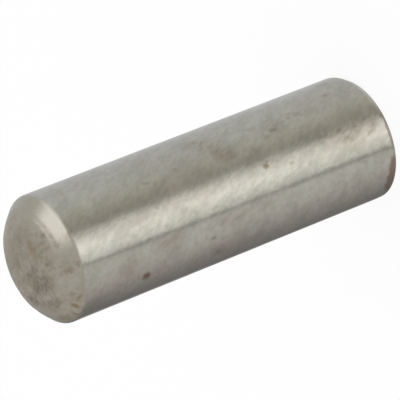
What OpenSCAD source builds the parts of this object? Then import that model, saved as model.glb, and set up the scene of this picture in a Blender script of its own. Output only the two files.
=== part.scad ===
// Plain parallel pin: one turned and ground steel pin, standing on its flat lead end.
// Z = 0 is the bottom end face and +Z is the pin's axis.

/* [Shank] */
// Diameter of the ground shank
pin_d = 4; // [2:0.1:20]
// Overall length, from one end face to the other
pin_l = 12.3; // [6:0.1:80]

/* [Top end] */
// Length of the top chamfer along the axis
top_chamfer_l = 0.7; // [0.2:0.05:1.5]
// Depth of the top chamfer across the radius
top_chamfer_r = 0.66; // [0.2:0.02:0.9]
// Radius that rounds the top chamfer into the end face
top_face_blend = 1.2; // [0.1:0.05:2]
// Radius worn onto the edge between the top chamfer and the shank
top_rim_blend = 0.1; // [0.02:0.01:0.4]

/* [Lead end] */
// Length of the shallow lead chamfer along the axis
lead_chamfer_l = 0.25; // [0.1:0.05:1.5]
// Depth of the lead chamfer across the radius
lead_chamfer_r = 0.09; // [0.02:0.01:0.4]
// Radius worn onto the edge between the lead chamfer and the bottom face
lead_face_blend = 0.06; // [0.02:0.01:0.1]
// Radius worn onto the shallow edge between the lead chamfer and the shank
lead_rim_blend = 0.3; // [0.05:0.05:0.6]

/* [Hidden] */
$fn = 180;
steel = [0.60, 0.58, 0.52];
pin_r = pin_d / 2;

// Each corner of the half section is [radius, height, blend radius, share of an edge it may take up].
corners = [
    [0, 0, 0, 0],
    [pin_r - lead_chamfer_r, 0, lead_face_blend, 0.5],
    [pin_r, lead_chamfer_l, lead_rim_blend, 0.5],
    [pin_r, pin_l - top_chamfer_l, top_rim_blend, 0.2],
    [pin_r - top_chamfer_r, pin_l, top_face_blend, 0.75],
    [0, pin_l, 0, 0],
];

// Corner i as a point; the list wraps round.
function corner(i) = [for (k = [0, 1]) corners[(i + len(corners)) % len(corners)][k]];

// Length of the edge between corners i and j
function edge(i, j) = norm(corner(j) - corner(i));

// Direction from corner i towards corner j
function towards(i, j) = (corner(j) - corner(i)) / edge(i, j);

// Half of the angle inside corner i
function half_angle(i) = acos(towards(i, i - 1) * towards(i, i + 1)) / 2;

// Blend radius at corner i, limited to what its share of the shorter edge beside it can take
function blend(i) =
    let (room = min(edge(i, i - 1), edge(i, i + 1)) * corners[i][3])
    min(corners[i][2], room * tan(half_angle(i)));

// Distance from corner i to the points where its blend touches the two edges
function setback(i) = blend(i) / tan(half_angle(i));

// Centre of the blend at corner i, on the line that halves the corner
function blend_centre(i) =
    let (middle = towards(i, i - 1) + towards(i, i + 1))
    corner(i) + middle / norm(middle) * blend(i) / sin(half_angle(i));

// Point where the blend at corner i touches the edge towards corner j
function touch(i, j) = corner(i) + towards(i, j) * setback(i);

// What a blend takes off corner i: the corner's tip, less the blend's own circle
module corner_tip(i) {
    tip = 2 * corner(i) - blend_centre(i);
    difference() {
        polygon([touch(i, i - 1), tip, touch(i, i + 1)]);
        translate(blend_centre(i)) circle(r = blend(i));
    }
}

// Half section with an arc tangent to both edges at each blended corner
module half_section() {
    difference() {
        polygon([for (i = [0 : len(corners) - 1]) corner(i)]);
        for (i = [0 : len(corners) - 1])
            if (blend(i) > 0)
                corner_tip(i);
    }
}

module pin() {
    color(steel) rotate_extrude() half_section();
}

pin();
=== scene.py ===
"""Looks of a plain ground steel pin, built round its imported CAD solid.

The pin stands on its lead end with its axis along +Z. Lengths are written in millimetres and turned
into metres by MM. A heading is an angle round the axis in degrees: 0 is the side that faces the
camera, -Y, and +90 is the -X side.
"""
import math

import bpy
import numpy as np
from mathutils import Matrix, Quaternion, Vector


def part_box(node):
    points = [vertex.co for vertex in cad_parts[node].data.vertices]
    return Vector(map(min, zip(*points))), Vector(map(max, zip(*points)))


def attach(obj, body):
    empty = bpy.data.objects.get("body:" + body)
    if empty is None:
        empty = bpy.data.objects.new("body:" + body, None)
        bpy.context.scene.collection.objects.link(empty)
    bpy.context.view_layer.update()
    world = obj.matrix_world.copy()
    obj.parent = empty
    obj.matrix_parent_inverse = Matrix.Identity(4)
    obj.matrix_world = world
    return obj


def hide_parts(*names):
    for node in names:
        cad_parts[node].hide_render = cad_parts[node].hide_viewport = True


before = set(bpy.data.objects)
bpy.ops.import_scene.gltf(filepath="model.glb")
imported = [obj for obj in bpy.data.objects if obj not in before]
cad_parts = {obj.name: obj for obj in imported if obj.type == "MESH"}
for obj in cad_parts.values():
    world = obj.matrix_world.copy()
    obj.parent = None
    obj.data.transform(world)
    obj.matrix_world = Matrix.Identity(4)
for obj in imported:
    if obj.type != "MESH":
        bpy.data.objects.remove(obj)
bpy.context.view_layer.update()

MM = 0.001
PIN_LOW, PIN_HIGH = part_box("pin")
RADIUS = (PIN_HIGH.x - PIN_LOW.x) / 2 / MM
LENGTH = (PIN_HIGH.z - PIN_LOW.z) / MM
# the point where the pin's axis meets the floor, in metres
FOOT = Vector(((PIN_LOW.x + PIN_HIGH.x) / 2, (PIN_LOW.y + PIN_HIGH.y) / 2, PIN_LOW.z))

# ---------------------------------------------------------------- sizes, as in the CAD source
TOP_CHAMFER_L, TOP_CHAMFER_R = 0.7, 0.66
TOP_FACE_BLEND = 1.2
LEAD_CHAMFER_L, LEAD_CHAMFER_R = 0.25, 0.09
LEAD_FACE_BLEND, LEAD_RIM_BLEND = 0.06, 0.3
BLEND_SHARE = 0.75          # how much of the shorter edge beside it a blend may take up at most

# ---------------------------------------------------------------- sizes that only the looks have
TOP_RIM_BLEND = 0.22        # the edge between top chamfer and shank is worn rounder than the CAD's
LEAD_OFFSET = 0.08          # the lead chamfer was turned this far off the axis, towards -X
BURNT_HEIGHT = 0.02         # the burnt bottom face reaches this far up its worn edge

# ---------------------------------------------------------------- mesh resolution
AROUND = 384                # points round the pin
SHANK_STEP = 0.085          # row spacing on the shank
END_STEP = 0.07             # row spacing on the chamfers and end faces
ARC_STEP = 12               # degrees of a worn edge between rows
TINY = 1e-6                 # lengths that differ by less are the same

# ---------------------------------------------------------------- waves that the grinding left
WAVE_COUNT = 90
WAVE_LENGTHS = (0.45, 1.6)  # shortest and longest
WAVE_LEAN = (65, 35)        # mean and spread of the angle between their run and the girth, in degrees
WAVE_DEPTH = 0.0004         # rms depth
WAVE_FADE = 0.25            # they fade out over this much radius, off the shank
WAVE_SEED = 7

# ---------------------------------------------------------------- steel colours, linear
BRIGHT_STEEL = (0.662, 0.640, 0.545, 1)
GREY_STEEL = (0.525, 0.505, 0.428, 1)
RUBBED_STEEL = (0.75, 0.73, 0.635, 1)
PIT = (0.30, 0.27, 0.22, 1)
BROWN_FILM = (0.42, 0.35, 0.275, 1)
DARK_FILM = (0.28, 0.24, 0.175, 1)
SPECK_BROWN = (0.30, 0.225, 0.15, 1)
RUST = (0.27, 0.145, 0.11, 1)
FACE_STEEL = (0.61, 0.595, 0.50, 1)
FACE_FILM = (0.515, 0.468, 0.380, 1)
FACE_DARK = (0.265, 0.245, 0.187, 1)
# brown of the top end's marks, one of which is painted shade on the chamfer's rim
FACE_BROWN_AND_SHADE = (0.36, 0.29, 0.21, 1)
FACE_LIGHT = (0.68, 0.665, 0.575, 1)
OLIVE = (0.43, 0.355, 0.225, 1)
FACE_RUST = (0.385, 0.26, 0.14, 1)
# brown of the lead end: partly film, partly painted shade
LEAD_BROWN_AND_SHADE = (0.345, 0.275, 0.215, 1)
BURNT = (0.15, 0.105, 0.075, 1)
BURNT_LIGHT = (0.24, 0.175, 0.125, 1)

# ---------------------------------------------------------------- roughness, from least to most
SHANK_ROUGHNESS = (0.075, 0.125)
END_ROUGHNESS = (0.22, 0.30)
BURNT_ROUGHNESS = (0.4, 0.6)
LEAD_FILM_ADDS = 0.25       # what the brown film on the lead end adds to the roughness; its mask also paints shade there
END_FILM_ADDS = 0.12        # what the film on the top end adds

# ---------------------------------------------------------------- grain of the steel
GRAIN_DEPTH = 0.006         # depth of the steel's grain
SCALE_DEPTH = 0.012         # depth of the burnt scale's grain
HUE_DRIFT = 0.12            # how far each colour channel of the shank drifts, lowest to highest
CLOUD_SHARE = 0.16          # strength of the shank's own faint clouds
PIT_SHARE = 0.16            # strength of its pits
EVEN_SIDE = 90              # heading round which its grain is even, and not drawn out
EVEN_REACH = (76, 66)       # degrees from there where it is drawn out, and where it is even
SHEEN_SIDE = 4               # heading round which its mottle is strongest, the side that mirrors the bright band: painted sheen
SHEEN_REACH = (22, 10)       # degrees from there where it is weakest, and where it is strongest
SHEEN_CONTRAST = (0.76, 1.06)  # the mottle's contrast at these two
BACK_FROM = (84, 100)       # headings, to both sides, between which the unseen back sets in

# ---------------------------------------------------------------- marks seen on the pin
# On the shank: (heading in degrees, height, half width round in degrees, half height, lean, strength).
# The lean is in degrees, anticlockwise as seen from outside with the top end up.
BROWN_CLOUDS = [
    (-45, 6.0, 13, 0.75, 15, 0.75),
    (-31, 5.7, 11, 0.60, 0, 0.42),
    (-39, 3.5, 10, 0.42, 0, 0.62),
    (-21, 8.2, 6, 0.45, 0, 0.28),
    (-67, 0.9, 8, 0.42, 30, 0.65),
    (27, 8.5, 12, 0.95, 0, 0.60),
    (33, 10.1, 12, 0.60, 0, 0.35),
    (26, 5.7, 8, 2.00, 0, 0.50),
    (3, 1.4, 10, 0.70, 0, 0.55),
    (-20, 4.7, 5, 0.35, 0, 0.30),
    (-40, 2.6, 6, 0.65, 20, 0.42),
    (56, 6.7, 10, 0.40, 0, 0.26),
    (61, 6.2, 7, 0.50, 0, 0.22),
    (-50, 1.3, 4, 0.20, 0, 0.35),
    (32, 1.6, 5, 0.25, 0, 0.25),
    (23, 1.2, 4, 0.20, 0, 0.25),
]
DARK_CLOUDS = [
    (-31, 5.7, 10, 0.50, 0, 0.30),
    (-34, 3.70, 3.6, 0.26, 20, 0.70),
    (-28, 4.0, 4, 0.40, 25, 0.25),
    (-8, 1.7, 5, 1.50, 0, 0.52),
    (-3, 1.5, 6, 0.80, 0, 0.50),
    (1, 3.2, 9, 0.70, 0, 0.24),
    (13, 8.4, 5, 0.30, 0, 0.45),
    (6, 7.8, 6, 0.30, 0, 0.34),
    (12, 7.4, 4, 0.20, 0, 0.24),
    (4, 5.85, 12, 0.14, 0, 0.16),
    (53, 6.8, 8, 0.22, 0, 0.45),
    (54, 5.2, 6, 0.26, 0, 0.22),
    (57, 4.6, 6, 0.34, 0, 0.18),
    (-2, 0.60, 6, 0.34, 0, 0.60),
    (14, 0.50, 4, 0.20, 0, 0.28),
    (-3, 2.20, 3, 0.28, 0, 0.40),
    (-2, 3.66, 4, 0.24, 0, 0.50),
    (-3, 4.32, 3.6, 0.20, 0, 0.45),
    (11, 6.76, 3.6, 0.20, 0, 0.36),
    (11, 5.73, 4, 0.20, 0, 0.26),
    (-64, 4.57, 6, 0.26, 0, 0.28),
    (-44, 4.43, 5, 0.26, 0, 0.30),
    (32, 4.78, 5, 0.24, 0, 0.26),
    (34, 8.90, 5, 0.20, 0, 0.20),
    (58, 1.83, 6, 0.22, 0, 0.24),
]
LIGHT_CLOUDS = [
    (11, 9.80, 4, 0.30, 0, 0.60),
    (12, 9.20, 4, 0.22, 0, 0.45),
    (10, 10.55, 5, 0.30, 0, 0.42),
    (5, 2.72, 5, 0.22, 0, 0.45),
    (37, 9.71, 5, 0.22, 0, 0.42),
    (-66, 10.75, 7, 0.26, 0, 0.40),
    (-40, 1.03, 6, 0.22, 0, 0.42),
    (30, 0.40, 6, 0.20, 0, 0.35),
]
SPECKS = [
    (-49, 1.35, 2.2, 0.11, 0, 0.30),
    (-44, 0.70, 2.0, 0.09, 0, 0.22),
    (-40, 3.00, 2.6, 0.12, 0, 0.34),
    (39, 6.95, 2.8, 0.11, 0, 0.45),
    (-11, 2.5, 2.4, 0.12, 0, 0.22),
    (-6, 8.6, 1.8, 0.10, 0, 0.35),
]
BROWN_SPECKS = [
    (-5, 4.61, 3.4, 0.13, 0, 0.85),
    (-30, 8.53, 2.2, 0.16, 0, 0.38),
    (-32, 7.40, 3.0, 0.12, 0, 0.30),
    (-8, 4.56, 2.0, 0.08, 0, 0.50),
]
RUST_SPOTS = [
    (50, 9.37, 5.2, 0.18, 0, 0.85),
]
# Brown band on the lead end: partly brown film, partly painted shade of the dark its chamfer would
# mirror next to the floor.
LEAD_FILM_AND_SHADE = [
    (52, 0.0, 28, 0.34, 0, 1.0),
    (4, 0.0, 24, 0.17, 0, 0.85),
    (118, 0.0, 20, 0.22, 0, 0.8),
    (-152, 0.0, 32, 0.26, 0, 0.9),
]

# On the top end: (x, y, half width, half height, lean, strength), as seen from above.
FACE_LIGHTS = [
    (-0.13, -0.90, 0.09, 0.34, 0, 0.55),
    (-0.19, -1.50, 0.16, 0.20, 0, 0.55),
    (-0.42, -1.38, 0.13, 0.18, 0, 0.60),
    (-0.74, -1.27, 0.18, 0.22, 0, 0.85),
    (-0.98, -0.98, 0.16, 0.40, 30, 0.40),
    (-1.30, -0.85, 0.10, 0.35, 20, 0.40),
    (-0.92, -1.48, 0.50, 0.26, -32, 0.55),
    (-1.03, -0.45, 0.09, 0.42, 8, 0.40),
    (-1.42, -0.72, 0.09, 0.30, 15, 0.30),
    (1.30, 0.00, 0.35, 0.50, 0, 0.12),
    (0.21, -0.62, 0.08, 0.20, 0, 0.35),
    (1.35, -0.60, 0.35, 0.40, 0, 0.25),
    (-0.38, 0.98, 0.16, 0.30, 0, 0.35),
]
FACE_BROWNS_AND_SHADE = [
    (0.67, -1.34, 0.08, 0.10, 0, 0.45),
    (0.81, -1.02, 0.10, 0.20, 0, 0.35),
    (0.49, -1.22, 0.09, 0.18, 0, 0.35),
    (0.27, -1.26, 0.10, 0.20, 0, 0.50),
    (0.28, -1.60, 0.15, 0.14, 0, 0.30),
    (-0.17, -1.25, 0.11, 0.22, 0, 0.50),
    (-0.56, -1.60, 0.12, 0.17, 0, 0.55),
    (-1.21, -1.24, 0.07, 0.13, 0, 0.50),
    (-1.13, -1.30, 0.05, 0.08, 0, 0.40),
    # painted shade: darkens the chamfer's rim, where the mirrored soft box fades before the edge
    (0.47, -1.93, 0.20, 0.08, -14, 0.35),
    (1.50, 0.22, 0.32, 0.50, 0, 0.30),
    (-1.33, -0.58, 0.10, 0.30, 15, 0.50),
    (-1.10, 0.35, 0.20, 0.40, 0, 0.35),
    (-1.20, 0.02, 0.08, 0.14, 0, 0.40),
    (-0.40, 0.26, 0.18, 0.30, 0, 0.35),
    (-0.43, -1.86, 0.10, 0.10, 0, 0.45),
    (-1.78, -0.63, 0.10, 0.18, 0, 0.80),
    (-1.87, -0.30, 0.20, 0.85, 0, 0.45),
    (0.95, -0.45, 0.35, 0.50, 0, 0.28),
    (0.30, 0.40, 0.45, 0.70, 0, 0.28),
]
FACE_OLIVES = [
    (0.58, -0.75, 0.15, 0.22, 0, 0.68),
    (0.41, -0.80, 0.17, 0.28, 0, 0.80),
    (0.15, -0.93, 0.18, 0.34, 0, 0.42),
]
FACE_RUSTS = [
    (-1.55, -0.97, 0.14, 0.11, 0, 0.85),
]
RIM_SCRATCH = [(-1.39, -1.27, 0.028, 0.22, 24, 0.6)]
OVAL_END = 1.15             # an oval has faded out at this many times its size

# the brown film on the top end
FILM_CENTRE = (-0.5, 0, 0)
FILM_REACH = (2.0, 1.2)     # distances from its centre where it ends, and where it is full
RIM_REACH = (2.05, 1.85)    # the same for the face with its veins and hollows

# the star of dark streaks on the top end
STAR = (-0.33, -0.65, 0)    # where the streaks start
STAR_SEED = 0.7             # picks which streaks the noise draws
STAR_STRETCH = 1.6          # how much longer they are along Y
STAR_SHARE = 0.95           # strength of the whole star
STREAKS_ROUND = 10.0        # about how many of them there are to a radian
STREAKS_OUT = 1.6           # and to a millimetre on the way out
STREAK_FAINT = 0.6          # how dark the faintest of them are
STREAK_MORE = 0.45          # how much darker the darkest are
RING_INSIDE = (0.78, 0.88)  # distances between which their outer ring begins
RING_OUTSIDE = (1.12, 0.94)  # distances where it ends, and where it is still full
RING_BEARING = 0.42         # bearing of the ring's middle, in radians
RING_REACH = (0.75, 0.40)   # radians from there where the ring ends, and where it is full
RING_SHARE = 0.75           # strength of the ring
CORE_HOLE = (0.04, 0.16)    # distances between which the core begins
STAR_CORES = [              # ovals like the marks above
    (-0.68, -0.46, 0.42, 0.66, 0, 1.0),
    (-0.17, -0.42, 0.22, 0.34, 0, 0.7),
    (-0.30, 0.04, 0.26, 0.42, 0, 0.62),
    (-0.84, 0.18, 0.16, 0.30, 0, 0.60),
]


# ================================================================ section of the pin
def worn_corner(before, corner, after, blend):
    """Points of the arc that rounds corner off, of radius blend and tangent to both edges."""
    before, corner, after = map(np.array, (before, corner, after))
    back = (before - corner) / np.linalg.norm(before - corner)
    on = (after - corner) / np.linalg.norm(after - corner)
    half = math.acos(np.clip(back @ on, -1, 1)) / 2
    room = min(np.linalg.norm(before - corner), np.linalg.norm(after - corner))
    room *= BLEND_SHARE
    blend = min(blend, room * math.tan(half))
    middle = (back + on) / np.linalg.norm(back + on)
    centre = corner + middle * blend / math.sin(half)
    start = corner + back * blend / math.tan(half) - centre
    end = corner + on * blend / math.tan(half) - centre
    first, last = math.atan2(start[1], start[0]), math.atan2(end[1], end[0])
    turn = (last - first + math.pi) % (2 * math.pi) - math.pi
    steps = max(2, round(abs(math.degrees(turn)) / ARC_STEP))
    angles = first + turn * np.linspace(0, 1, steps + 1)
    return [centre + blend * np.array((math.cos(a), math.sin(a))) for a in angles]


def outline():
    """(radius, height) corners and arcs of the pin's section, from the top centre to the bottom."""
    corners = [
        ((0, LENGTH), 0),
        ((RADIUS - TOP_CHAMFER_R, LENGTH), TOP_FACE_BLEND),
        ((RADIUS, LENGTH - TOP_CHAMFER_L), TOP_RIM_BLEND),
        ((RADIUS, LEAD_CHAMFER_L), LEAD_RIM_BLEND),
        ((RADIUS - LEAD_CHAMFER_R, 0), LEAD_FACE_BLEND),
        ((0, 0), 0),
    ]
    points = [np.array(corners[0][0], float)]
    for (before, _), (corner, blend), (after, _) in zip(corners, corners[1:], corners[2:]):
        points += worn_corner(before, corner, after, blend)
    points.append(np.array(corners[-1][0], float))
    return points


def section():
    """The outline with its straight stretches cut into rows."""
    points = outline()
    rows = [points[0]]
    for start, end in zip(points, points[1:]):
        on_shank = min(start[0], end[0]) > RADIUS - TINY
        step = SHANK_STEP if on_shank else END_STEP
        count = max(1, math.ceil(np.linalg.norm(end - start) / step))
        rows += [start + (end - start) * k / count for k in range(1, count + 1)]
    return np.array(rows)


# ================================================================ turned mesh
def waviness(theta, height):
    """Depth of the ground surface below a true cylinder, in mm: many faint waves, never above 0."""
    rng = np.random.default_rng(WAVE_SEED)
    depth = np.zeros(np.broadcast(theta, height).shape)
    mean, spread = map(math.radians, WAVE_LEAN)
    for _ in range(WAVE_COUNT):
        wavelength = rng.uniform(*WAVE_LENGTHS)
        lean = rng.normal(mean, spread)
        turns = round(2 * math.pi * RADIUS / wavelength * math.cos(lean))
        climb = 2 * math.pi / wavelength * math.sin(lean)
        depth += wavelength * np.cos(turns * theta + climb * height + rng.uniform(0, 2 * math.pi))
    depth *= WAVE_DEPTH / depth.std()
    return depth.max() - depth


def turned_points(rows):
    """Mesh points of the rows turned round the axis, then the top and the bottom centre."""
    radius, height = rows[1:-1, :1], rows[1:-1, 1:]
    theta = 2 * math.pi * np.arange(AROUND) / AROUND
    # the lead chamfer is turned off centre, the more the deeper it goes
    lead = np.where(height < LENGTH / 2, (RADIUS - radius) / LEAD_CHAMFER_R, 0)
    shift = -LEAD_OFFSET * np.clip(lead, 0, 1)
    waves = np.clip((radius - RADIUS + WAVE_FADE) / WAVE_FADE, 0, 1)
    radius = radius - waviness(theta, height) * waves
    x, y = radius * np.cos(theta) + shift, radius * np.sin(theta)
    sides = np.stack([x, y, np.broadcast_to(height, x.shape)], -1).reshape(-1, 3)
    centres = [(0, 0, rows[0][1]), (-LEAD_OFFSET, 0, rows[-1][1])]
    return np.concatenate([sides, centres]) * MM + np.array(FOOT)


def turned_faces(rings):
    """Faces between the rings of points, and the fans that close both ends."""
    a = np.arange(AROUND)
    b = (a + 1) % AROUND
    last = (rings - 1) * AROUND
    top, bottom = rings * AROUND, rings * AROUND + 1
    faces = []
    for upper in range(0, last, AROUND):
        lower = upper + AROUND
        faces += np.stack([upper + a, lower + a, lower + b, upper + b], 1).tolist()
    faces += [(top, int(i), int(j)) for i, j in zip(a, b)]
    faces += [(bottom, int(last + j), int(last + i)) for i, j in zip(a, b)]
    return faces


def lathe(name, rows):
    """A closed mesh of the rows turned round the axis."""
    mesh = bpy.data.meshes.new(name)
    mesh.from_pydata(turned_points(rows).tolist(), [], turned_faces(len(rows) - 2))
    mesh.shade_smooth()
    mesh.validate()
    piece = bpy.data.objects.new(name, mesh)
    bpy.context.scene.collection.objects.link(piece)
    return piece


# ================================================================ node helpers
class Nodes:
    """Adds nodes to one material or world."""

    def __init__(self, owner):
        owner.use_nodes = True
        self.tree = owner.node_tree
        self.tree.nodes.clear()

    def add(self, kind, inputs, **settings):
        node = self.tree.nodes.new(kind)
        for name, value in settings.items():
            setattr(node, name, value)
        for name, value in inputs.items():
            if isinstance(value, bpy.types.NodeSocket):
                self.tree.links.new(value, node.inputs[name])
            else:
                node.inputs[name].default_value = value
        return node

    def math(self, operation, a, b=0.0):
        return self.add("ShaderNodeMath", {0: a, 1: b}, operation=operation).outputs[0]

    def vector(self, operation, a, b=(0, 0, 0), output="Vector"):
        return self.add("ShaderNodeVectorMath", {0: a, 1: b}, operation=operation).outputs[output]

    def split(self, vector):
        return self.add("ShaderNodeSeparateXYZ", {0: vector}).outputs

    def join(self, x, y, z=0.0):
        return self.add("ShaderNodeCombineXYZ", {0: x, 1: y, 2: z}).outputs[0]

    def ramp(self, value, start, end, low=0.0, high=1.0):
        """Smooth step from low to high as value goes from start to end."""
        inputs = {"Value": value, "From Min": start, "From Max": end, "To Min": low, "To Max": high}
        return self.add("ShaderNodeMapRange", inputs, interpolation_type="SMOOTHSTEP").outputs[0]

    def noise(self, place, size, detail=2.0, roughness=0.5, output="Fac"):
        """Noise of about 0 to 1 with features of that size in mm."""
        inputs = {"Vector": place, "Scale": 1 / size, "Detail": detail, "Roughness": roughness}
        return self.add("ShaderNodeTexNoise", inputs).outputs[output]

    def mix(self, share, a, b):
        """Colour a, with that share of colour b laid over it."""
        return self.add("ShaderNodeMix", {0: share, 6: a, 7: b}, data_type="RGBA").outputs[2]

    def blend(self, share, a, b):
        """Number a, with that share of number b."""
        return self.add("ShaderNodeMix", {0: share, 2: a, 3: b}, data_type="FLOAT").outputs[0]

    def average(self, a, b):
        return self.math("ADD", self.math("MULTIPLY", a, 0.5), self.math("MULTIPLY", b, 0.5))

    def clamp(self, value, low, high):
        return self.math("MINIMUM", self.math("MAXIMUM", value, low), high)

    def apart(self, value, middle):
        """How far value is from middle."""
        return self.math("ABSOLUTE", self.math("SUBTRACT", value, middle))

    def most(self, values):
        found = values[0]
        for value in values[1:]:
            found = self.math("MAXIMUM", found, value)
        return found

    def place(self):
        """Point on the pin in mm from its bottom centre."""
        own = self.add("ShaderNodeTexCoord", {}).outputs["Object"]
        from_axis = self.vector("SUBTRACT", own, tuple(FOOT))
        return self.vector("MULTIPLY", from_axis, (1 / MM,) * 3)

    def moved(self, place, by):
        """Place moved, so that noise there is another pattern."""
        return self.vector("ADD", place, by)

    def twisted(self, place, along, climb):
        """Place for noise drawn out along a helix that climbs round the pin by climb radians a mm."""
        angle = self.math("MULTIPLY", self.split(place)["Z"], climb)
        inputs = {"Vector": place, "Angle": angle}
        turned = self.add("ShaderNodeVectorRotate", inputs, rotation_type="Z_AXIS").outputs[0]
        return self.vector("MULTIPLY", turned, (1, 1, 1 / along))

    def heading(self, place):
        """Angle round the axis in degrees: 0 towards -Y, 90 towards -X."""
        x, y, _ = self.split(place)
        back = self.math("MULTIPLY", x, -1.0)
        front = self.math("MULTIPLY", y, -1.0)
        return self.math("DEGREES", self.math("ARCTAN2", back, front))

    def warp(self, plane, place, size, amount):
        """Plane coordinates pushed about by noise, so that marks get uneven edges."""
        push = self.noise(place, size, detail=3.0, roughness=0.6, output="Color")
        push = self.vector("SUBTRACT", push, (0.5, 0.5, 0.5))
        push = self.vector("MULTIPLY", push, (amount, amount, 0))
        return self.vector("ADD", plane, push)

    def ovals(self, plane, marks, inner=0.2):
        """Mask of ovals (x, y, half width, half height, lean, strength).

        Each is full inside inner of its size, and fades away just outside its size.
        """
        masks = []
        for x, y, wide, tall, lean, strength in marks:
            settings = {"Vector": plane, "Location": (x, y, 0), "Rotation": (0, 0, math.radians(lean)),
                        "Scale": (wide, tall, 1)}
            own = self.add("ShaderNodeMapping", settings, vector_type="TEXTURE").outputs[0]
            reach = self.vector("LENGTH", own, output="Value")
            masks.append(self.ramp(reach, OVAL_END, inner, high=strength))
        return self.most(masks)

    def metal(self, colour, roughness, height, depth):
        """Finish a material as metal: its height runs from 0 to 1 over depth mm."""
        bump = self.add("ShaderNodeBump", {"Strength": 1.0, "Distance": depth * MM, "Height": height})
        shader = self.add("ShaderNodeBsdfPrincipled", {
            "Base Color": colour, "Metallic": 1.0, "Roughness": roughness, "Normal": bump.outputs[0]})
        self.finish(shader.outputs[0])

    def finish(self, shader, kind="ShaderNodeOutputMaterial"):
        self.add(kind, {"Surface": shader})


# ================================================================ the ground shank
def on_shank(marks):
    """Marks with headings in degrees as marks with distances round the shank in mm."""
    arc = math.radians(RADIUS)
    return [(heading * arc, height, wide * arc, tall, lean, strength)
            for heading, height, wide, tall, lean, strength in marks]


def shank_grain(n, place, heading):
    """The fine grain, and the mottle that it makes with the broad grain."""
    # the grain is drawn out along a helix, except on the -X side, where it is even
    even = n.ramp(n.apart(heading, EVEN_SIDE), *EVEN_REACH)
    fine = n.noise(n.twisted(place, along=1.7, climb=0.26), size=0.14, roughness=0.6)
    fine_even = n.noise(n.twisted(place, along=0.9, climb=0.1), size=0.17, roughness=0.6)
    fine = n.blend(even, fine, fine_even)
    broad = n.noise(n.twisted(place, along=1.6, climb=0.2), size=0.5)
    broad_even = n.noise(n.twisted(place, along=1.0, climb=0.1), size=0.55)
    broad = n.blend(even, broad, broad_even)
    return fine, n.average(broad, fine)


def bare_shank(n, place, heading, mottle):
    """Steel that the mottle turns from grey to bright, with painted sheen where the bright band is
    mirrored, faint clouds, hues and pits.
    """
    # the mottle's colour contrast is raised on the side that mirrors the bright band: painted sheen
    painted_sheen = n.ramp(n.apart(heading, SHEEN_SIDE), *SHEEN_REACH, *SHEEN_CONTRAST)
    contrast = n.math("ADD", n.math("MULTIPLY", n.math("SUBTRACT", mottle, 0.5), painted_sheen), 0.5)
    colour = n.mix(n.ramp(contrast, 0.345, 0.655), GREY_STEEL, BRIGHT_STEEL)
    clouds = n.noise(n.twisted(place, along=1.5, climb=0.1), size=2.0)
    colour = n.mix(n.ramp(clouds, 0.45, 0.75, high=CLOUD_SHARE), colour, BROWN_FILM)
    # thin oxide lets the hue drift
    drift = n.twisted(n.moved(place, by=(5, 5, 5)), along=1.6, climb=0.2)
    hue = n.noise(drift, size=0.3, detail=3.0, roughness=0.7, output="Color")
    hue = n.vector("MULTIPLY", hue, (HUE_DRIFT,) * 3)
    colour = n.vector("MULTIPLY", colour, n.vector("ADD", hue, (1 - HUE_DRIFT / 2,) * 3))
    pits = n.noise(n.moved(place, by=(7, 3, 0)), size=0.16, detail=1.0)
    return n.mix(n.ramp(pits, 0.66, 0.78, high=PIT_SHARE), colour, PIT)


def back_stains(n, place, heading, colour):
    """The unseen back has stains of the same kinds as the front, wherever the noise puts them."""
    back = n.ramp(n.math("ABSOLUTE", heading), *BACK_FROM)
    stretched = n.vector("MULTIPLY", place, (1, 1, 0.8))
    patches = n.noise(stretched, size=0.9, detail=3.0, roughness=0.6)
    patches = n.math("MULTIPLY", back, n.ramp(patches, 0.6, 0.78, high=0.6))
    colour = n.mix(patches, colour, BROWN_FILM)
    dots = n.noise(n.moved(place, by=(2, 9, 4)), size=0.45, detail=1.0)
    dots = n.math("MULTIPLY", back, n.ramp(dots, 0.74, 0.8, high=0.7))
    return n.mix(dots, colour, DARK_FILM)


def front_stains(n, place, plane, colour):
    """The clouds, specks and rust seen on the front."""
    cloudy = n.warp(n.warp(plane, place, size=0.7, amount=0.7), place, size=0.16, amount=0.30)
    worn = n.noise(n.twisted(place, along=2.2, climb=0.26), size=0.24, roughness=0.6)
    worn = n.ramp(worn, 0.3, 0.62, 0.25, 1.1)
    clouds = ((BROWN_CLOUDS, BROWN_FILM), (DARK_CLOUDS, DARK_FILM), (LIGHT_CLOUDS, RUBBED_STEEL))
    for marks, film in clouds:
        share = n.math("MULTIPLY", n.ovals(cloudy, on_shank(marks), inner=0.0), worn)
        colour = n.mix(share, colour, film)
    speckled = n.warp(plane, place, size=0.2, amount=0.16)
    colour = n.mix(n.ovals(speckled, on_shank(SPECKS)), colour, DARK_FILM)
    colour = n.mix(n.ovals(speckled, on_shank(BROWN_SPECKS)), colour, SPECK_BROWN)
    return n.mix(n.ovals(speckled, on_shank(RUST_SPOTS), inner=0.3), colour, RUST)


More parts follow.
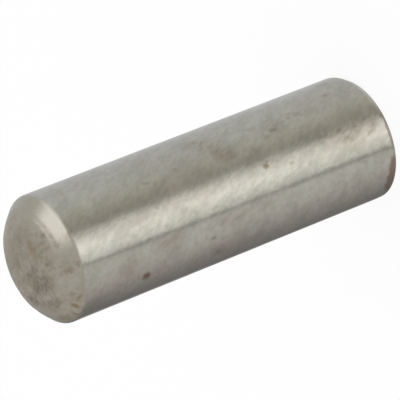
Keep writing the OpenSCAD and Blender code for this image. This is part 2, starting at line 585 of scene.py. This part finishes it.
def ground_steel():
    """The ground shank: bright, mottled by tumbling, with brown film, a few rust specks, painted
    sheen, and a lead end that is part film, part painted shade.
    """
    material = bpy.data.materials.new("ground_steel_shank")
    n = Nodes(material)
    place = n.place()
    heading = n.heading(place)
    plane = n.join(n.math("MULTIPLY", heading, math.radians(RADIUS)), n.split(place)["Z"])
    fine, mottle = shank_grain(n, place, heading)
    colour = bare_shank(n, place, heading, mottle)
    colour = back_stains(n, place, heading, colour)
    colour = front_stains(n, place, plane, colour)
    # the lead end's brown: partly film, partly painted shade
    edge = n.warp(n.warp(plane, place, size=0.5, amount=0.3), place, size=0.15, amount=0.12)
    film = n.ovals(edge, on_shank(LEAD_FILM_AND_SHADE), inner=0.75)
    colour = n.mix(film, colour, LEAD_BROWN_AND_SHADE)
    polish = n.ramp(fine, 0.25, 0.75, *SHANK_ROUGHNESS)
    roughness = n.math("ADD", polish, n.math("MULTIPLY", film, LEAD_FILM_ADDS))
    n.metal(colour, roughness, mottle, GRAIN_DEPTH)
    return material


# ================================================================ the two ends
def end_grain(n, place, fine_size, fine_detail, broad_size):
    """The mottle that fine and broad grain make on an end."""
    fine = n.noise(place, fine_size, fine_detail, roughness=0.6)
    return n.average(n.noise(place, broad_size), fine)


def star(n, flat, place):
    """Dark streaks that fan out on the top end, in a core and a ring on the -X side."""
    ragged = n.warp(flat, place, size=0.3, amount=0.14)
    spread = n.vector("MULTIPLY", n.vector("SUBTRACT", ragged, STAR), (1, 1 / STAR_STRETCH, 0))
    x, y, _ = n.split(spread)
    away = n.vector("LENGTH", spread, output="Value")
    bearing = n.math("ARCTAN2", y, n.math("MULTIPLY", x, -1.0))
    across = n.math("MULTIPLY", bearing, STREAKS_ROUND)
    outward = n.math("MULTIPLY", away, STREAKS_OUT)
    streaks = n.ramp(n.noise(n.join(across, outward, STAR_SEED), size=1.0), 0.36, 0.62)
    streaks = n.math("ADD", n.math("MULTIPLY", streaks, STREAK_MORE), STREAK_FAINT)
    core = n.math("MULTIPLY", n.ramp(away, *CORE_HOLE), n.ovals(ragged, STAR_CORES, inner=0.3))
    ring = n.math("MULTIPLY", n.ramp(away, *RING_INSIDE), n.ramp(away, *RING_OUTSIDE))
    part = n.ramp(n.apart(bearing, RING_BEARING), *RING_REACH, high=RING_SHARE)
    ring = n.math("MULTIPLY", ring, part)
    return n.math("MULTIPLY", n.math("ADD", core, ring), streaks)


def end_film(n, flat, place, mottle):
    """The film over the top face, and the area inside its ragged rim on the chamfer."""
    ragged = n.warp(flat, place, size=0.5, amount=0.5)
    reach = n.vector("LENGTH", n.vector("SUBTRACT", ragged, FILM_CENTRE), output="Value")
    patchy = n.ramp(mottle, 0.62, 0.36, low=0.6)
    return n.math("MULTIPLY", n.ramp(reach, *FILM_REACH), patchy), n.ramp(reach, *RIM_REACH)


def end_stains(n, flat, place, inside, colour):
    """The light, brown and rusty marks seen on the top end, a painted shade on the chamfer's rim, and
    faint veins.
    """
    veined = n.warp(n.warp(flat, place, size=0.35, amount=0.35), place, size=0.12, amount=0.16)
    colour = n.mix(n.ovals(veined, FACE_LIGHTS), colour, FACE_LIGHT)
    veins = n.apart(n.noise(place, size=0.5, detail=3.0, roughness=0.6), 0.5)
    veins = n.math("MULTIPLY", n.ramp(veins, 0.05, 0.0, high=0.45), inside)
    colour = n.mix(veins, colour, FACE_LIGHT)
    colour = n.mix(n.ovals(veined, FACE_BROWNS_AND_SHADE), colour, FACE_BROWN_AND_SHADE)
    smudged = n.warp(flat, place, size=0.2, amount=0.14)
    for marks, stain in ((FACE_OLIVES, OLIVE), (FACE_RUSTS, FACE_RUST), (RIM_SCRATCH, FACE_BROWN_AND_SHADE)):
        colour = n.mix(n.ovals(smudged, marks), colour, stain)
    return colour


def turned_steel():
    """The top end: dull steel with a brown film on its face, a star of dark streaks, stains and a
    painted shade at the rim.
    """
    material = bpy.data.materials.new("turned_steel_end")
    n = Nodes(material)
    place = n.place()
    flat = n.vector("MULTIPLY", place, (1, 1, 0))
    mottle = end_grain(n, place, fine_size=0.13, fine_detail=2.0, broad_size=0.42)
    film, inside = end_film(n, flat, place, mottle)
    colour = n.mix(film, FACE_STEEL, FACE_FILM)
    colour = n.mix(n.math("MULTIPLY", star(n, flat, place), STAR_SHARE), colour, FACE_DARK)
    colour = end_stains(n, flat, place, inside, colour)
    # the grain shows through all of it
    colour = n.mix(n.ramp(mottle, 0.45, 0.72, high=0.4), colour, FACE_LIGHT)
    hollows = n.math("MULTIPLY", n.ramp(mottle, 0.5, 0.28, high=0.3), inside)
    colour = n.mix(hollows, colour, FACE_BROWN_AND_SHADE)
    polish = n.ramp(mottle, 0.3, 0.7, *END_ROUGHNESS)
    roughness = n.math("ADD", polish, n.math("MULTIPLY", film, END_FILM_ADDS))
    n.metal(colour, roughness, mottle, GRAIN_DEPTH)
    return material


def burnt_steel():
    """The bottom face: dark brown scale, faintly worn through to the steel in places."""
    material = bpy.data.materials.new("burnt_steel_end")
    n = Nodes(material)
    place = n.place()
    mottle = end_grain(n, place, fine_size=0.14, fine_detail=3.0, broad_size=0.5)
    colour = n.mix(n.ramp(mottle, 0.35, 0.65), BURNT, BURNT_LIGHT)
    worn = n.noise(n.moved(place, by=(1, 4, 0)), size=1.3, detail=5.0, roughness=0.65)
    colour = n.mix(n.ramp(worn, 0.46, 0.74, high=0.5), colour, GREY_STEEL)
    n.metal(colour, n.ramp(mottle, 0.3, 0.7, *BURNT_ROUGHNESS), mottle, SCALE_DEPTH)
    return material


# ================================================================ the pin
STEELS = (ground_steel, turned_steel, burnt_steel)


def finish_faces(piece):
    """Give the shank, the top end and the bottom face their own steels."""
    for steel in STEELS:
        piece.data.materials.append(steel())
    for face in piece.data.polygons:
        height = (face.center.z - FOOT.z) / MM
        if height > LENGTH - TOP_CHAMFER_L:
            face.material_index = STEELS.index(turned_steel)
        elif height < BURNT_HEIGHT:
            face.material_index = STEELS.index(burnt_steel)


pin = lathe("pin_body", section())
finish_faces(pin)
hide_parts("pin")
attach(pin, "root")

# ================================================================ floor
FLOOR_REACH = 400           # half the floor's width
FLOOR_GAP = 0.005           # a hair below the pin, so that the two faces never lie in one plane
FLOOR_GLOW = 0.9            # share of plain white in what the camera sees; the rest keeps the shadow
PAPER = (0.95, 0.95, 0.95, 1)
WHITE = (1, 1, 1, 1)


def floor_paper():
    """White paper that the camera sees as white, with the pin's faint shadow."""
    material = bpy.data.materials.new("white_paper")
    n = Nodes(material)
    seen = n.add("ShaderNodeLightPath", {}).outputs["Is Camera Ray"]
    paper = n.add("ShaderNodeBsdfDiffuse", {"Color": PAPER}).outputs[0]
    white = n.add("ShaderNodeEmission", {"Color": WHITE, "Strength": 1.0}).outputs[0]
    share = n.math("MULTIPLY", seen, FLOOR_GLOW)
    n.finish(n.add("ShaderNodeMixShader", {0: share, 1: paper, 2: white}).outputs[0])
    return material


def add_floor():
    """A square of paper under the pin, which the steel doesn't mirror."""
    half, low = FLOOR_REACH * MM, FOOT.z - FLOOR_GAP * MM
    corners = [(-half, -half, low), (half, -half, low), (half, half, low), (-half, half, low)]
    mesh = bpy.data.meshes.new("floor")
    mesh.from_pydata(corners, [], [(0, 1, 2, 3)])
    mesh.materials.append(floor_paper())
    floor = bpy.data.objects.new("floor", mesh)
    floor.visible_glossy = False
    bpy.context.scene.collection.objects.link(floor)
    return floor


floor = add_floor()

# ================================================================ studio
# How bright the studio's walls are at each heading, as the steel mirrors them.
WALLS = [
    (-180, 0.45), (-160, 0.60), (-100, 0.575), (-85, 0.57), (-70, 0.555), (-56, 0.515),
    (-40, 0.43), (-31, 0.392), (-24, 0.44), (-18, 0.62), (-12, 0.81), (0, 1.035),
    (8, 1.09), (16, 0.99), (24, 0.86), (30, 0.75), (34, 0.465), (37, 0.415),
    (40, 0.565), (46, 0.61), (60, 0.585), (72, 0.53), (88, 0.455), (104, 0.37),
    (120, 0.29), (136, 0.235), (155, 0.18), (180, 0.45),
]
# How much green and blue they have for each part of red.
TINTS = [
    (-180, 1.02, 1.05), (-150, 1.02, 1.09), (-110, 1.025, 1.08), (-84, 1.025, 1.062),
    (-72, 1.018, 1.035), (-60, 1.0, 0.985), (-36, 0.98, 0.93), (-12, 0.995, 1.01),
    (24, 1.015, 1.035), (60, 1.005, 1.035), (90, 0.97, 1.00), (150, 0.955, 0.985),
    (180, 1.02, 1.05),
]
SLANT = 1.1                 # degrees of heading that the walls lean by, a degree of elevation
SLANT_HEADINGS = (-6, 22)   # the lean sets in between these headings
SLANT_HEIGHTS = (-34, -27)  # and it goes on between these elevations
SLANT_LEVEL = -30           # elevation at which the leaning walls are where WALLS has them
SKYLINE = (-27, 20)         # elevations between which they turn into what is above
CLOSING = 0.52              # share of their heading that they lose straight below
CLOSING_FROM = (-30, -90)   # elevations between which they close in
CLOSING_SIDE = (175, 100)   # headings, to both sides, between which that sets in
ABOVE = (0.50, 0.485, 0.48, 1)

# The soft box, up on the +X side, in degrees of heading and elevation
BOX = (1.13, 1.11, 1.14, 1)
BOX_HEADING = -53           # its middle
BOX_HALF_WIDTH = 47
BOX_OVAL_FROM = 38          # elevation above which it rounds off into an oval
BOX_OVAL_HEIGHT = 22
BOX_LEAN_FROM = 42          # elevation above which its middle leans towards the front
BOX_LEAN = 0.45             # by this much, a degree of elevation
BOX_CUT_BELOW = 58          # elevation below which its front is cut away, a degree a degree
BOX_CUT_FROM = (-88, -48)   # the cut sets in between these headings
BOX_EDGE = (1.22, 0.80)     # its soft edge, where its half width is 1
BOX_FADE = (-28, 48)        # elevations between which it fades away downwards


def colour_ramp(n, along, stops):
    """Colours at headings from -180 to 180 degrees, smoothly joined."""
    node = n.add("ShaderNodeValToRGB", {"Fac": along})
    elements = node.color_ramp.elements
    elements.remove(elements[-1])
    for k, (heading, colour) in enumerate(stops):
        share = (heading + 180) / 360
        stop = elements[0] if k == 0 else elements.new(share)
        stop.position = share
        stop.color = (*colour, 1)
    return node.outputs["Color"]


def walls(n, heading, elevation):
    """Colour of the walls round the pin."""
    up = n.math("SUBTRACT", n.clamp(elevation, *SLANT_HEIGHTS), SLANT_LEVEL)
    lean = n.math("MULTIPLY", up, n.ramp(heading, *SLANT_HEADINGS, high=SLANT))
    along = n.math("DIVIDE", n.math("ADD", n.math("ADD", heading, lean), 180.0), 360.0)
    level = colour_ramp(n, along, [(angle, (level,) * 3) for angle, level in WALLS])
    tint = colour_ramp(n, along, [(angle, (1, green, blue)) for angle, green, blue in TINTS])
    return n.vector("MULTIPLY", level, tint)


def softbox(n, heading, elevation):
    """Mask of the big soft box: oval above, and narrowing and fading away below."""
    below = n.math("SUBTRACT", BOX_CUT_BELOW, n.clamp(elevation, 0.0, BOX_CUT_BELOW))
    cut = n.math("MULTIPLY", below, n.ramp(heading, *BOX_CUT_FROM))
    above = n.math("MAXIMUM", n.math("SUBTRACT", elevation, BOX_LEAN_FROM), 0.0)
    middle = n.math("ADD", n.math("MULTIPLY", above, BOX_LEAN), BOX_HEADING)
    off_middle = n.math("ADD", n.math("SUBTRACT", heading, middle), cut)
    across = n.math("DIVIDE", off_middle, BOX_HALF_WIDTH)
    up = n.math("DIVIDE", n.math("SUBTRACT", elevation, BOX_OVAL_FROM), BOX_OVAL_HEIGHT)
    reach = n.vector("LENGTH", n.join(across, n.math("MAXIMUM", up, 0.0)), output="Value")
    return n.math("MULTIPLY", n.ramp(reach, *BOX_EDGE), n.ramp(elevation, *BOX_FADE))


def studio_world():
    """A white studio that lights the pin evenly, and has walls and a soft box for it to mirror."""
    world = bpy.data.worlds.new("studio")
    bpy.context.scene.world = world
    n = Nodes(world)
    direction = n.add("ShaderNodeTexCoord", {}).outputs["Generated"]
    heading = n.heading(direction)
    elevation = n.math("DEGREES", n.math("ARCSINE", n.split(direction)["Z"]))
    # far below, the walls close in, so that the lead chamfer mirrors what the shank beside it does
    front = n.ramp(n.math("ABSOLUTE", heading), *CLOSING_SIDE)
    steep = n.math("MULTIPLY", n.ramp(elevation, *CLOSING_FROM), front)
    kept = n.math("SUBTRACT", 1.0, n.math("MULTIPLY", steep, CLOSING))
    heading = n.math("MULTIPLY", heading, kept)
    sky = n.mix(n.ramp(elevation, *SKYLINE), walls(n, heading, elevation), ABOVE)
    sky = n.mix(softbox(n, heading, elevation), sky, BOX)
    mirrored = n.add("ShaderNodeLightPath", {}).outputs["Is Glossy Ray"]
    light = n.mix(mirrored, WHITE, sky)
    shader = n.add("ShaderNodeBackground", {"Color": light, "Strength": 1.0}).outputs[0]
    n.finish(shader, kind="ShaderNodeOutputWorld")
    world.cycles.sampling_method = "NONE"


studio_world()

# ================================================================ camera
LENS = 360.6
SENSOR = 36                 # width that the lens throws the picture onto
DISTANCE = 120.1            # from the point that the camera looks at
LOOK_AT = (-0.04, 0, 6.0)   # from the pin's bottom centre
ELEVATION = 30.18           # degrees above the horizon
ROLL = -111.57              # lays the standing pin across the picture


def add_camera():
    """The camera, which sees the pin from far away through a long lens, as the photo does."""
    data = bpy.data.cameras.new("camera")
    data.lens = LENS
    data.sensor_width = SENSOR
    data.clip_start = 1 * MM
    camera = bpy.data.objects.new("camera", data)
    tilt = math.radians(ELEVATION)
    back = Vector((0, -math.cos(tilt), math.sin(tilt)))
    facing = (-back).to_track_quat("-Z", "Y")
    camera.location = FOOT + Vector(LOOK_AT) * MM + back * DISTANCE * MM
    camera.rotation_mode = "QUATERNION"
    camera.rotation_quaternion = facing @ Quaternion((0, 0, 1), math.radians(ROLL))
    bpy.context.scene.collection.objects.link(camera)
    return camera


bpy.context.scene.camera = add_camera()
bpy.context.scene.view_settings.view_transform = "Standard"
